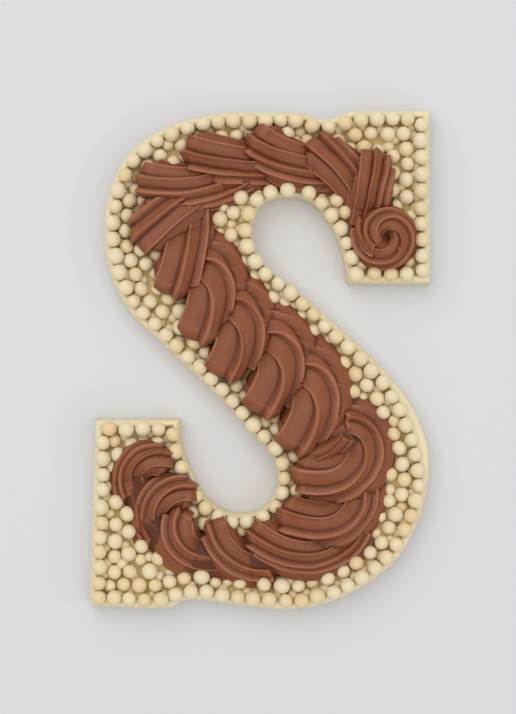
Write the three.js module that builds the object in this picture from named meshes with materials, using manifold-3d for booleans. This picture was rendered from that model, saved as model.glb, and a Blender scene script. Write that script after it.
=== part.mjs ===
// A chocolate letter S: a moulded slab of white chocolate with a shallow tray in its face, crisp pearls
// lying along the tray's edge, and a rope of milk chocolate piped through a star nozzle down the middle.
// Units are millimetres. X runs to the letter's right, Y to its top and Z up out of its face, with the
// origin under the middle of the letter, on the surface that it lies on.

import * as THREE from 'three';
import { mergeVertices } from 'three/addons/utils/BufferGeometryUtils.js';
import Module from 'manifold-3d';

const wasm = await Module();
wasm.setup();

// ---------------------------------------------------------------------------------------------------
// Driving dimensions
// ---------------------------------------------------------------------------------------------------

// The moulded slab. The wall leans in by draft from the foot to the rim, and innerDraft down to the floor.
const SLAB = {
  height: 9,
  floor: 6,
  draft: 0.5,
  chamfer: 0.4,
  innerDraft: 0.8,
  step: 4.8,
};

// The flat top of the wall is this wide, except near the places below, where it changes by so much.
const RIM_WIDTH = 2.0;
const RIM_CHANGES = [
  { place: 'upper counter', x: 10, y: 36, reach: 21, by: -1.2 },
  { place: 'lower counter', x: -7, y: -30, reach: 21, by: -1.2 },
  { place: 'right bowl', x: 50, y: -21, reach: 14, by: 1.6 },
];

// The foot of the slab, clockwise from the inner corner of the upper right serif. A run is straight
// between its points unless it is round, when it is a smooth curve through them.
const OUTLINE = [
  {
    name: 'upper counter, spine, right bowl and foot of the letter',
    round: true,
    through: [
      [26.5, 22.9], [25.1, 31.7], [21.7, 39.9], [15.9, 47.3], [8.0, 49.4], [0.6, 46.7], [-2.3, 40.2],
      [0.6, 30.1], [15.3, 17.6], [32.4, 2.3], [44.1, -10.6], [49.9, -22.2], [51.4, -33.2], [48.3, -48.5],
      [40.1, -62.0], [25.1, -72.1], [10.1, -75.7], [-4.6, -74.7], [-20.5, -72.8], [-27.5, -75.3],
      [-33.7, -75.4], [-51.7, -74.7],
    ],
  },
  {
    name: 'lower left serif',
    round: false,
    through: [[-51.7, -74.7], [-50.0, -18.0], [-24.2, -17.9]],
  },
  {
    name: 'lower counter, spine, left bowl and head of the letter',
    round: true,
    through: [
      [-24.2, -17.9], [-23.3, -27.1], [-17.4, -40.2], [-11.9, -45.1], [-6.1, -46.7], [0.6, -45.1],
      [5.2, -38.4], [4.0, -29.5], [-2.8, -21.7], [-15.6, -8.7], [-30.6, 5.4], [-40.7, 15.8], [-46.5, 29.8],
      [-46.8, 45.7], [-41.3, 60.4], [-31.2, 69.0], [-16.8, 73.9], [-1.5, 75.1], [12.2, 74.7], [19.3, 72.8],
      [27.5, 75.4],
    ],
  },
  {
    name: 'upper right serif',
    round: false,
    through: [[27.5, 75.4], [51.6, 75.6], [51.7, 22.8], [26.5, 22.9]],
  },
];

// The rope's bed: a low run of chocolate under the loops, along a smooth curve through these places.
// Each place is x, y and the bed's half width there.
const BED = {
  rise: 4.6,
  rings: 26,
  sides: 6,
  through: [
    [-37.7, -34.2, 5.1], [-34.1, -48.0, 6.0], [-24.5, -57.5, 7.2], [-10.5, -59.9, 7.2],
    [4.5, -58.7, 7.2], [18.5, -54.2, 7.2], [27.5, -45.6, 7.5], [29.3, -33.0, 7.2], [23.3, -21.1, 6.6],
    [14.9, -10.3, 6.6], [6.0, 0.5, 6.6], [-4.2, 12.4, 6.3], [-14.9, 25.9, 5.4], [-23.9, 37.2, 5.4],
    [-26.9, 46.2, 5.4], [-20.9, 53.7, 5.4], [-7.2, 58.5, 5.4], [9.0, 59.7, 5.4], [23.9, 57.3, 5.4],
    [33.5, 51.9, 5.4], [37.1, 41.1, 6.0], [37.1, 35.1, 6.0],
  ],
};

// The rope's loops, each a stroke of the star nozzle, in the order in which they were piped: each lies
// over the end of the one before. A stroke starts with the nozzle at x, y, sets off at heading and turns
// left by turn over length (angles in degrees). radius is the star's, and flank is how far the outer
// side slumps beyond it. teeth is the star's count of teeth and tooth the direction in plan of one of
// them. With a twist of 1 the teeth keep their directions while the stroke turns, with 0 they turn with
// it. lift raises a loop, dip is how far its end sinks beneath the next one, and curl above 1 makes it
// bend more towards its end.
const LOOPS = [
  {
    x: -30.5, y: -30.0, heading: 165, turn: 132, length: 18.5,
    radius: 5.4, flank: 1.5, teeth: 7, tooth: 20, curl: 0.9, twist: 0.5,
  },
  {
    x: -23.6, y: -39.9, heading: 172, turn: 135, length: 21.5,
    radius: 5.7, flank: 2.1, teeth: 7, tooth: 20, curl: 0.9, twist: 0.5,
  },
  {
    x: -23.6, y: -48.9, heading: 248, turn: 108, length: 13.2,
    radius: 6.3, flank: 3.9, teeth: 6, tooth: 92, curl: 1.0, twist: 0.3,
  },
  {
    x: -12.3, y: -52.1, heading: 288, turn: 70, length: 17.9,
    radius: 5.7, flank: 2.1, teeth: 6, tooth: 75, curl: 1.0, twist: 0.3,
  },
  {
    x: 1.2, y: -53.6, heading: 328, turn: 100, length: 33.5,
    radius: 6.6, flank: 2.7, teeth: 8, tooth: 200, curl: 1.5, twist: 0.4,
  },
  {
    x: 10.8, y: -47.7, heading: 345, turn: 195, length: 34.1,
    radius: 7.2, flank: 3.0, teeth: 6, tooth: 211, curl: 1.8, twist: 0.3,
  },
  {
    x: 15.5, y: -34.2, heading: 350, turn: 205, length: 31.7,
    radius: 7.2, flank: 3.6, teeth: 6, tooth: 220, curl: 1.6, twist: 0.5,
  },
  {
    x: 12.0, y: -21.7, heading: 56, turn: 183, length: 33.8,
    radius: 8.4, flank: 3.9, teeth: 5, tooth: 196, curl: 1.8,
  },
  {
    x: 2.1, y: -10.3, heading: 56, turn: 192, length: 31.7,
    radius: 8.4, flank: 3.9, teeth: 5, tooth: 196, curl: 1.8,
  },
  {
    x: -9.0, y: 0.5, heading: 62, turn: 182, length: 29.3,
    radius: 8.4, flank: 3.9, teeth: 5, tooth: 196, curl: 1.9,
  },
  {
    x: -17.0, y: 11.8, heading: 70, turn: 172, length: 28.4,
    radius: 8.4, flank: 3.9, teeth: 5, tooth: 196, curl: 2.3,
  },
  {
    x: -25.1, y: 25.3, heading: 72, turn: 15, length: 22.4,
    radius: 8.1, flank: 0.9, teeth: 6, tooth: 205,
  },
  {
    x: -32.3, y: 39.3, heading: 42, turn: -10, length: 29.9,
    radius: 8.4, flank: 0.9, teeth: 8, tooth: 167,
  },
  {
    x: -30.8, y: 53.1, heading: 345, turn: 45, length: 28.4,
    radius: 7.8, flank: 0.9, teeth: 9, tooth: 158, curl: 1.0,
  },
  {
    x: -17.0, y: 61.8, heading: 345, turn: 22, length: 25.4,
    radius: 7.5, flank: 2.4, teeth: 8, tooth: 173,
  },
  {
    x: 1.8, y: 64.1, heading: 320, turn: 45, length: 25.4,
    radius: 7.5, flank: 2.4, teeth: 8, tooth: 145, curl: 0.8,
  },
  {
    x: 19.4, y: 61.8, heading: 318, turn: -15, length: 22.4,
    radius: 7.2, flank: 1.2, teeth: 7, tooth: 155,
  },
  {
    x: 33.8, y: 57.3, heading: 262, turn: -5, length: 19.4,
    radius: 7.2, flank: 0.6, teeth: 9, tooth: 120,
  },
  {
    x: 32.3, y: 39.0, heading: 262, turn: 430, length: 35.0,
    radius: 5.4, flank: 0.9, teeth: 8, tooth: 120, curl: 1.15, lift: 0.8, dip: -1.6, twist: 0.5,
  },
];

// The rope's section is a half star with sharp ridges and hollow flutes, each flute deepest near the
// ridge on the inside of the bend, as a share of its width. The half star lies on straight sides, with
// its outer shoulder raised and slumped into a skirt, of which the first skirt degrees follow the star.
// A loop's surface leans back by rake, and it narrows by taper towards its end. edgeRoom is the room that
// the edge row of pearls needs beside the rim.
const ROPE = {
  underside: 6.3,
  fluteDepth: 0.3,
  deepest: 0.78,
  ridgeFade: 20,
  shoulder: 0.3,
  skirt: 45,
  skirtFall: 80,
  skirtSpread: 22,
  leastSkirt: 0.3,
  rake: 0.45,
  leastRise: 2.4,
  risePerRadius: 0.55,
  waist: 3.6,
  leastWaist: 0.5,
  lift: 0.6,
  liftEnd: 0.3,
  dip: 5.0,
  curl: 1.4,
  twist: 1,
  taper: 0.22,
  flankEnd: 0.35,
  noseRings: 3,
  noseFoot: 0.05,
  leastRings: 5,
  turnPerRing: 26,
  ringsPerPiece: 6,
  leastShare: 0.02,
  tightestBend: 0.85,
  edgeRoom: 3.75,
  roomHeight: 36,
  nearlyInset: 0.97,
};

// The crisp pearls, fused to the tray. The edge row reaches edgeReach from the rim and stands edgeLift
// higher than the rows behind it, which sit rowGap apart wherever the rope leaves room.
const PEARLS = {
  diameter: 4.8,
  spread: 0.35,
  sunk: 0.35,
  spacing: 1.05,
  edgeReach: 3.4,
  edgeLift: 1.1,
  rowGap: 4.3,
  rows: 2,
  clearOfRope: 0.35,
  step: 0.5,
  coverSteps: [0, 0.2, 0.4, 0.6, 0.8],
  seed: 20,
};

// ---------------------------------------------------------------------------------------------------
// Small helpers
// ---------------------------------------------------------------------------------------------------

// A seeded random number between 0 and 1 at each call.
function seededRandom(seed) {
  let state = seed;
  return () => {
    state = (state * 1664525 + 1013904223) % 4294967296;
    return state / 4294967296;
  };
}

// A smooth step from 0 to 1 as value goes from start to end.
function smoothStep(value, start, end) {
  return THREE.MathUtils.smoothstep(value, start, end);
}

// How far x, y is from the straight line between two points, all in plan.
function distanceToLine(x, y, from, to) {
  const along = new THREE.Vector2(to.x - from.x, to.y - from.y);
  const across = new THREE.Vector2(x - from.x, y - from.y);
  const share = THREE.MathUtils.clamp(across.dot(along) / Math.max(along.lengthSq(), 1e-6), 0, 1);
  return across.addScaledVector(along, -share).length();
}

// A closed solid skinned over rings of equal length, each a list of Vector3, with flat ends.
function skinRings(rings, closeStart, closeEnd) {
  const count = rings[0].length;
  const positions = rings.flat().flatMap((point) => [point.x, point.y, point.z]);
  const indices = [];
  for (let ring = 0; ring + 1 < rings.length; ring += 1) {
    for (let side = 0; side < count; side += 1) {
      const next = (side + 1) % count;
      const low = ring * count;
      const high = low + count;
      indices.push(low + side, low + next, high + next);
      indices.push(low + side, high + next, high + side);
    }
  }
  const last = (rings.length - 1) * count;
  closeStart.forEach(([a, b, c]) => indices.push(c, b, a));
  closeEnd.forEach(([a, b, c]) => indices.push(last + a, last + b, last + c));
  const geometry = new THREE.BufferGeometry();
  geometry.setAttribute('position', new THREE.Float32BufferAttribute(positions, 3));
  geometry.setIndex(indices);
  return geometry;
}

// A three.js geometry as a manifold solid.
function toSolid(geometry) {
  const bare = geometry.clone();
  bare.deleteAttribute('normal');
  bare.deleteAttribute('uv');
  const merged = mergeVertices(bare, 1e-4);
  return new wasm.Manifold(new wasm.Mesh({
    numProp: 3,
    vertProperties: new Float32Array(merged.attributes.position.array),
    triVerts: new Uint32Array(merged.index.array),
  }));
}

// A manifold solid as a three.js geometry.
function toGeometry(solid) {
  const mesh = solid.getMesh();
  const positions = [];
  for (let vertex = 0; vertex < mesh.numVert; vertex += 1) {
    const start = vertex * mesh.numProp;
    positions.push(...mesh.vertProperties.slice(start, start + 3));
  }
  const geometry = new THREE.BufferGeometry();
  geometry.setAttribute('position', new THREE.Float32BufferAttribute(positions, 3));
  geometry.setIndex(Array.from(mesh.triVerts));
  return geometry;
}

// The union of solids with any sealed pocket filled and loose scraps dropped: the largest piece.
function fuse(solids) {
  const pieces = wasm.Manifold.union(solids).decompose();
  return pieces.reduce((best, piece) => (piece.volume() > best.volume() ? piece : best));
}

// ---------------------------------------------------------------------------------------------------
// The slab
// ---------------------------------------------------------------------------------------------------

// The foot outline as evenly spaced points, clockwise.
function outlinePoints() {
  const points = [];
  OUTLINE.forEach(({ round, through }) => {
    const corners = through.map(([x, y]) => new THREE.Vector2(x, y));
    let run = corners;
    if (round) {
      const curve = new THREE.SplineCurve(corners);
      run = curve.getSpacedPoints(Math.round(curve.getLength() / SLAB.step));
    }
    points.push(...run.slice(0, -1));
  });
  return points;
}

// The direction into the chocolate at each point of the outline, long enough at a corner that both
// sides move in by 1.
function inwardDirections(points) {
  return points.map((point, index) => {
    const before = points[(index + points.length - 1) % points.length];
    const after = points[(index + 1) % points.length];
    const arriving = point.clone().sub(before).normalize();
    const leaving = after.clone().sub(point).normalize();
    const along = arriving.clone().add(leaving).normalize();
    const inward = new THREE.Vector2(along.y, -along.x);
    return inward.multiplyScalar(1 / along.dot(leaving));
  });
}

// The width of the wall's flat top near a point.
function rimWidth(point) {
  return RIM_CHANGES.reduce((width, change) => {
    const distance = Math.hypot(point.x - change.x, point.y - change.y);
    return width + change.by * Math.exp(-((distance / change.reach) ** 4));
  }, RIM_WIDTH);
}

// The outline moved in by inset(point), at height z.
function insetRing(points, inward, z, inset) {
  return points.map((point, index) => {
    const moved = point.clone().addScaledVector(inward[index], inset(point));
    return new THREE.Vector3(moved.x, moved.y, z);
  });
}

function buildSlab(points, inward) {
  const rimStart = SLAB.draft + SLAB.chamfer;
  const rings = [
    insetRing(points, inward, 0, () => 0),
    insetRing(points, inward, SLAB.height - SLAB.chamfer, () => SLAB.draft),
    insetRing(points, inward, SLAB.height, () => rimStart),
    insetRing(points, inward, SLAB.height, (point) => SLAB.draft + rimWidth(point)),
    insetRing(points, inward, SLAB.floor, (point) => SLAB.draft + rimWidth(point) + SLAB.innerDraft),
  ];
  // The rings run clockwise, so they are turned round for the skin to face out.
  rings.forEach((ring) => ring.reverse());
  const foot = THREE.ShapeUtils.triangulateShape(rings[0], []);
  const floor = THREE.ShapeUtils.triangulateShape(rings.at(-1), []);
  return toSolid(skinRings(rings, foot, floor));
}

// ---------------------------------------------------------------------------------------------------
// The piped rope
// ---------------------------------------------------------------------------------------------------

// The lines along a loop, each at an angle of the half star from its left foot, and with how far it lies
// in a flute: the ridges and the bottoms of the flutes. Lines beyond a foot come up as the stroke turns.
function sectionLines(loop) {
  const { twist = ROPE.twist } = loop;
  const leftTurn = loop.turn >= 0;
  const first = Math.min(twist * loop.turn, 0) - (leftTurn ? 0 : ROPE.skirt);
  const last = 180 + Math.max(twist * loop.turn, 0) + (leftTurn ? ROPE.skirt : 0);
  const spacing = 360 / loop.teeth;
  const leftFoot = loop.heading + 90;
  const bottom = leftTurn ? ROPE.deepest : 1 - ROPE.deepest;
  const lines = [];
  for (let tooth = Math.floor((first + leftFoot - loop.tooth) / spacing); ; tooth += 1) {
    const ridge = loop.tooth + tooth * spacing - leftFoot;
    if (ridge > last) {
      break;
    }
    lines.push({ angle: ridge, hollow: 0 }, { angle: ridge + bottom * spacing, hollow: 1 });
  }
  return lines.filter((line) => line.angle >= first && line.angle <= last);
}

// The middle line of a loop in plan, from where its nose pivots: place, heading, the degrees turned so
// far, rise, the height of its widest line, and the half width on the left and on the right, less on the
// inside of a tight bend, with the slumped flank on the outside.
function loopPath(loop) {
  const { curl = ROPE.curl, lift = ROPE.lift, dip = ROPE.dip } = loop;
  const start = THREE.MathUtils.degToRad(loop.heading);
  const turn = THREE.MathUtils.degToRad(loop.turn);
  const rise = ROPE.leastRise + loop.radius * ROPE.risePerRadius;
  const steps = Math.max(ROPE.leastRings, Math.ceil(Math.abs(loop.turn) / ROPE.turnPerRing));
  const path = [];
  let { x, y } = loop;
  for (let index = 0; index <= steps; index += 1) {
    const share = index / steps;
    const heading = start + turn * share ** curl;
    const bend = (Math.abs(turn) * curl * Math.max(share, ROPE.leastShare) ** (curl - 1)) / loop.length;
    const fullness = 1 - ROPE.taper * share;
    const outside = loop.radius * fullness;
    const inside = Math.min(outside, ROPE.tightestBend / bend);
    const [left, right] = turn > 0 ? [inside, outside] : [outside, inside];
    const sinking = dip * smoothStep(share, ROPE.liftEnd, 1);
    const waist = ROPE.waist + lift * smoothStep(share, 0, ROPE.liftEnd) - sinking;
    path.push({
      x,
      y,
      heading,
      turned: loop.turn * share ** curl,
      left,
      right,
      flank: loop.flank * smoothStep(share, 0, ROPE.flankEnd) * fullness,
      rise: rise * fullness,
      waist: Math.max(waist, ROPE.leastWaist),
    });
    const middle = start + turn * (share + 0.5 / steps) ** curl;
    x += (Math.cos(middle) * loop.length) / steps;
    y += (Math.sin(middle) * loop.length) / steps;
  }
  return path;
}

// One ring of a loop at a place on its path. tilt swings the half star back about its feet: a quarter
// turn lays it flat behind the place. With no waist the ring lies on the underside.
function loopRing(loop, place, tilt, waist) {
  const { twist = ROPE.twist } = loop;
  const forward = new THREE.Vector2(Math.cos(place.heading), Math.sin(place.heading));
  const at = (across, back, height) => new THREE.Vector3(
    place.x - forward.y * across - forward.x * back,
    place.y + forward.x * across - forward.y * back,
    ROPE.underside + height,
  );
  const outer = loop.turn < 0 ? 1 : -1;
  const rise = place.rise * Math.cos(tilt);
  const backReach = ((place.left + place.right) / 2) * (ROPE.rake + (1 - ROPE.rake) * Math.sin(tilt));
  const ring = sectionLines(loop).map(({ angle, hollow }) => {
    const now = angle - twist * place.turned;
    const beyond = Math.max(-now, now - 180, 0);
    const swung = THREE.MathUtils.degToRad(THREE.MathUtils.clamp(now, 0, 180));
    const side = Math.cos(swung);
    const reach = 1 - ROPE.fluteDepth * hollow * Math.exp(-beyond / ROPE.ridgeFade);
    const up = Math.sin(swung) * reach;
    const onOutside = side * outer > 0;
    const skirt = ROPE.leastSkirt + (onOutside ? place.flank : 0);
    const slumped = skirt * (1 - Math.exp(-beyond / ROPE.skirtSpread));
    const across = side * reach * (side > 0 ? place.left : place.right) + Math.sign(side) * slumped;
    const shoulder = onOutside ? ROPE.shoulder * (1 - Math.sin(swung)) * rise : 0;
    const top = waist + up * rise + shoulder;
    return at(across, up * backReach, top * Math.exp(-beyond / ROPE.skirtFall));
  });
  const leftFoot = place.left + ROPE.leastSkirt + (outer > 0 ? place.flank : 0);
  const rightFoot = place.right + ROPE.leastSkirt + (outer < 0 ? place.flank : 0);
  return [at(leftFoot, 0, 0), ...ring, at(-rightFoot, 0, 0)];
}

// A loop as solids that each turn too little to meet themselves, end to end.
function buildLoop(loop, path) {
  const [start] = path;
  const rings = [loopRing(loop, start, Math.PI / 2, ROPE.noseFoot)];
  for (let ring = 0; ring < ROPE.noseRings; ring += 1) {
    const tilt = (1 - ring / ROPE.noseRings) * (Math.PI / 2);
    rings.push(loopRing(loop, start, tilt, start.waist));
  }
  rings.push(...path.map((place) => loopRing(loop, place, 0, place.waist)));
  const pieces = [];
  let first = 0;
  while (first + 1 < rings.length) {
    const left = rings.length - 1 - first;
    const count = left <= ROPE.ringsPerPiece * 2 ? left : ROPE.ringsPerPiece;
    const chosen = rings.slice(first, first + count + 1);
    pieces.push(toSolid(skinRings(chosen, capTriangles(chosen[0]), capTriangles(chosen.at(-1)))));
    first += count;
  }
  return pieces;
}

// The triangles of a ring's flat cap, seen along the path: worked out on the ring turned flat.
function capTriangles(ring) {
  const left = ring[0];
  const across = ring.at(-1).clone().sub(left).normalize();
  const outline = ring.map((corner) => {
    const reach = corner.clone().sub(left);
    const along = reach.dot(across);
    const height = reach.addScaledVector(across, -along);
    return new THREE.Vector2(-along, Math.hypot(height.x, height.y, height.z));
  });
  return THREE.ShapeUtils.triangulateShape(outline, []);
}

// The places along the rope's bed: the third coordinate of the curve carries its half width.
function bedPath() {
  const curve = new THREE.CatmullRomCurve3(BED.through.map((place) => new THREE.Vector3(...place)));
  return curve.getPoints(BED.rings).map((place, index) => {
    const along = curve.getTangent(index / BED.rings);
    const heading = Math.atan2(along.y, along.x);
    return { x: place.x, y: place.y, heading, left: place.z, right: place.z, flank: 0 };
  });
}

function buildBed(path) {
  const section = Array.from({ length: BED.sides + 1 }, (unused, side) => {
    const angle = (side / BED.sides) * Math.PI;
    return new THREE.Vector2(Math.cos(angle), Math.sin(angle));
  });
  const rings = path.map((place) => section.map((corner) => new THREE.Vector3(
    place.x - Math.sin(place.heading) * corner.x * place.left,
    place.y + Math.cos(place.heading) * corner.x * place.left,
    ROPE.underside + corner.y * BED.rise,
  )));
  const caps = THREE.ShapeUtils.triangulateShape(section, []);
  return toSolid(skinRings(rings, caps, caps));
}

// The space over the tray that the edge row of pearls leaves to the rope. Points that moved past each
// other at a corner have come too close to the outline again, and are left out.
function buildRopeRoom(points, inward) {
  const inset = (point) => SLAB.draft + rimWidth(point) + ROPE.edgeRoom;
  const sides = points.map((point, index) => [point, points[(index + 1) % points.length]]);
  const staysInset = ({ x, y }, index) => sides.every(
    ([from, to]) => distanceToLine(x, y, from, to) > inset(points[index]) * ROPE.nearlyInset,
  );
  const edge = insetRing(points, inward, ROPE.underside, inset).filter(staysInset).reverse();
  const top = edge.map((point) => new THREE.Vector3(point.x, point.y, ROPE.roomHeight));
  const caps = THREE.ShapeUtils.triangulateShape(edge, []);
  return toSolid(skinRings([edge, top], caps, caps));
}

// ---------------------------------------------------------------------------------------------------
// The pearls
// ---------------------------------------------------------------------------------------------------

// Lines that cover a path's footprint: across it at each place and at even steps between.
function linesAcross(path) {
  const besidePath = (place, reach) => new THREE.Vector2(
    place.x - Math.sin(place.heading) * reach,
    place.y + Math.cos(place.heading) * reach,
  );
  const sides = path.map((place) => [
    besidePath(place, place.left + place.flank),
    besidePath(place, -place.right - place.flank),
  ]);
  return sides.flatMap(([left, right], index) => {
    const [leftBefore, rightBefore] = sides[Math.max(index - 1, 0)];
    return PEARLS.coverSteps.map((share) => [
      left.clone().lerp(leftBefore, share),
      right.clone().lerp(rightBefore, share),
    ]);
  });
}

// Lines that cover a loop's nose: from its pivot to each corner and to even steps between.
function linesToNose(loop, [pivot]) {
  const corners = loopRing(loop, pivot, Math.PI / 2, 0);
  return corners.slice(1).flatMap((corner, index) => (
    PEARLS.coverSteps.map((share) => [corner.clone().lerp(corners[index], share), pivot])
  ));
}

// Pearl centres in rows that follow the wall, where the rope and the other pearls leave room.
function pearlPlaces(points, inward, lines) {
  const random = seededRandom(PEARLS.seed);
  const pearls = [];
  const clearOfPearls = (x, y, radius) => pearls.every(
    (pearl) => Math.hypot(pearl.x - x, pearl.y - y) > (pearl.radius + radius) * PEARLS.spacing,
  );
  const clearOfRope = (x, y, radius) => lines.every(
    ([from, to]) => distanceToLine(x, y, from, to) > radius + PEARLS.clearOfRope,
  );
  for (let row = 0; row < PEARLS.rows; row += 1) {
    points.forEach((start, index) => {
      const after = (index + 1) % points.length;
      const pieces = Math.ceil(start.distanceTo(points[after]) / PEARLS.step);
      for (let piece = 0; piece < pieces; piece += 1) {
        const radius = (PEARLS.diameter + (random() - 0.5) * 2 * PEARLS.spread) / 2;
        const inset = SLAB.draft + rimWidth(start) + PEARLS.edgeReach - radius + row * PEARLS.rowGap;
        const from = start.clone().addScaledVector(inward[index], inset);
        const to = points[after].clone().addScaledVector(inward[after], inset);
        const { x, y } = from.lerp(to, piece / pieces);
        if (clearOfPearls(x, y, radius) && (row === 0 || clearOfRope(x, y, radius))) {
          const lift = row === 0 ? PEARLS.edgeLift : -PEARLS.sunk;
          pearls.push({ x, y, z: SLAB.floor + radius + lift, radius, spin: random() * Math.PI });
        }
      }
    });
  }
  return pearls;
}

// A pearl as an icosahedron that stands on one of its corners.
function buildPearl(pearl) {
  const ball = new THREE.IcosahedronGeometry(pearl.radius, 0);
  ball.rotateX(-Math.atan(2 / (1 + Math.sqrt(5))));
  ball.rotateZ(pearl.spin);
  ball.translate(pearl.x, pearl.y, pearl.z);
  return toSolid(ball);
}

// ---------------------------------------------------------------------------------------------------
// The letter
// ---------------------------------------------------------------------------------------------------

function namedMesh(name, solid, colour, roughness) {
  const material = new THREE.MeshStandardMaterial({ color: colour, roughness, metalness: 0 });
  const mesh = new THREE.Mesh(toGeometry(solid), material);
  mesh.name = name;
  return mesh;
}

const outline = outlinePoints();
const inward = inwardDirections(outline);
const paths = LOOPS.map(loopPath);
const bed = bedPath();
const ropeLines = [
  ...[...paths, bed].flatMap(linesAcross),
  ...LOOPS.flatMap((loop, index) => linesToNose(loop, paths[index])),
];
const pearls = pearlPlaces(outline, inward, ropeLines);

const letter = fuse([buildSlab(outline, inward), ...pearls.map(buildPearl)]);
const rope = fuse([
  wasm.Manifold.union([
    buildBed(bed),
    ...LOOPS.flatMap((loop, index) => buildLoop(loop, paths[index])),
  ]).intersect(buildRopeRoom(outline, inward)),
]);

const chocolateLetter = new THREE.Group();
chocolateLetter.add(namedMesh('white_chocolate_letter', letter, '#e8d9a8', 0.5));
chocolateLetter.add(namedMesh('milk_chocolate_rope', rope, '#87553c', 0.45));

export default chocolateLetter;
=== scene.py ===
"""A chocolate letter S seen from straight above: white chocolate, crisp pearls and a piped rope.

Lengths in the dataclasses are in millimetres and turn to metres as a mesh is made.
"""

import logging
import math
import random
from dataclasses import dataclass, field
from enum import Enum

import bmesh
import bpy
from mathutils import Euler, Matrix, Vector, noise
from mathutils.bvhtree import BVHTree
from mathutils.kdtree import KDTree

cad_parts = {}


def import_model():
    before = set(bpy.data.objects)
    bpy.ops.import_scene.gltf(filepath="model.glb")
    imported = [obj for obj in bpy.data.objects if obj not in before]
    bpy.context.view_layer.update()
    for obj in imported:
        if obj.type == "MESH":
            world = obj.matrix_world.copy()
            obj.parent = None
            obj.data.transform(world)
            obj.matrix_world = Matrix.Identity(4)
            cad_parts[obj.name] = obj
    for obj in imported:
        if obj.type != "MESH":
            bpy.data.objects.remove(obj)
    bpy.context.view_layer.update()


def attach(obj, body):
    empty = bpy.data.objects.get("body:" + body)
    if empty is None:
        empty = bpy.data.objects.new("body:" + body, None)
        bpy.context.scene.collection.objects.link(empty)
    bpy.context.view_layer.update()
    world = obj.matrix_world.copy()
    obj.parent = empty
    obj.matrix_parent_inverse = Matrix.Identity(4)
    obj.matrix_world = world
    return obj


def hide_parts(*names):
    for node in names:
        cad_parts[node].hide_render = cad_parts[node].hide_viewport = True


LOG = logging.getLogger("chocolate_letter")
MM = 0.001


# --- Shared helpers ---


def linear_colour(hex_colour: str) -> tuple[float, float, float, float]:
    """Turn an sRGB hex colour to the linear colour that a shader takes, by the curve of the standard.

    Args:
        hex_colour: The colour as six hex digits after a hash.

    Returns:
        Red, green, blue and an alpha of 1.
    """
    shares = [int(hex_colour[start:start + 2], 16) / 255 for start in (1, 3, 5)]
    red, green, blue = (
        share / 12.92 if share <= 0.04045 else ((share + 0.055) / 1.055) ** 2.4
        for share in shares
    )
    return red, green, blue, 1.0


def smooth_step(value: float, start: float, end: float) -> float:
    """Rise smoothly from 0 at start to 1 at end.

    Args:
        value: Where to read the step.
        start: The value up to which the step is 0.
        end: The value from which the step is 1.

    Returns:
        A share from 0 to 1.
    """
    share = min(max((value - start) / (end - start), 0.0), 1.0)
    return share * share * (3 - 2 * share)


def set_up(node: bpy.types.Node, settings: dict, links: dict | None = None) -> None:
    """Give a node its settings and its incoming links.

    Args:
        node: The node.
        settings: Attribute values by name, or socket values by socket name or index.
        links: Output sockets to link in, by input socket name or index.
    """
    for name, value in settings.items():
        if isinstance(name, str) and hasattr(node, name):
            setattr(node, name, value)
        else:
            node.inputs[name].default_value = value
    for name, socket in (links or {}).items():
        node.id_data.links.new(socket, node.inputs[name])


def add_node(tree: bpy.types.NodeTree, kind: str, settings: dict | None = None,
             links: dict | None = None) -> bpy.types.Node:
    """Add a node with its settings and its incoming links.

    Args:
        tree: The node tree to add to.
        kind: The node's type name.
        settings: Its settings, as set_up takes them.
        links: Its incoming links, as set_up takes them.

    Returns:
        The new node.
    """
    node = tree.nodes.new(kind)
    set_up(node, settings or {}, links)
    return node


def new_material(name: str) -> tuple[bpy.types.Material, bpy.types.NodeTree, bpy.types.Node]:
    """Start a node material.

    Args:
        name: The material's name.

    Returns:
        The material, its node tree and its Principled shader.
    """
    material = bpy.data.materials.new(name)
    material.use_nodes = True
    tree = material.node_tree
    return material, tree, tree.nodes["Principled BSDF"]


def make_object(name: str, mesh: bmesh.types.BMesh,
                material: bpy.types.Material) -> bpy.types.Object:
    """Turn a bmesh into an object at the origin, and free the bmesh.

    Args:
        name: The object's name.
        mesh: The finished bmesh, in metres.
        material: The finish of the whole object.

    Returns:
        The new object, linked to the scene.
    """
    data = bpy.data.meshes.new(name)
    mesh.to_mesh(data)
    mesh.free()
    data.materials.append(material)
    made = bpy.data.objects.new(name, data)
    bpy.context.scene.collection.objects.link(made)
    return made


def add_ring(mesh: bmesh.types.BMesh, places: list[Vector]) -> list[bmesh.types.BMEdge]:
    """Draw a closed ring of edges through places.

    Args:
        mesh: The bmesh to draw in.
        places: The ring's corners in order.

    Returns:
        The ring's edges.
    """
    corners = [mesh.verts.new(place) for place in places]
    return [mesh.edges.new((corners[index - 1], corners[index])) for index in range(len(corners))]


def ring_corners(edges: list[bmesh.types.BMEdge]) -> list[bmesh.types.BMVert]:
    """Give a ring's corners in order.

    Args:
        edges: The ring's edges, where edge N joins corner N - 1 to corner N.

    Returns:
        The corner that each edge leads to.
    """
    corners = []
    for index, edge in enumerate(edges):
        following = edges[(index + 1) % len(edges)]
        corners.append(next(corner for corner in edge.verts if corner in following.verts))
    return corners


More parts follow.
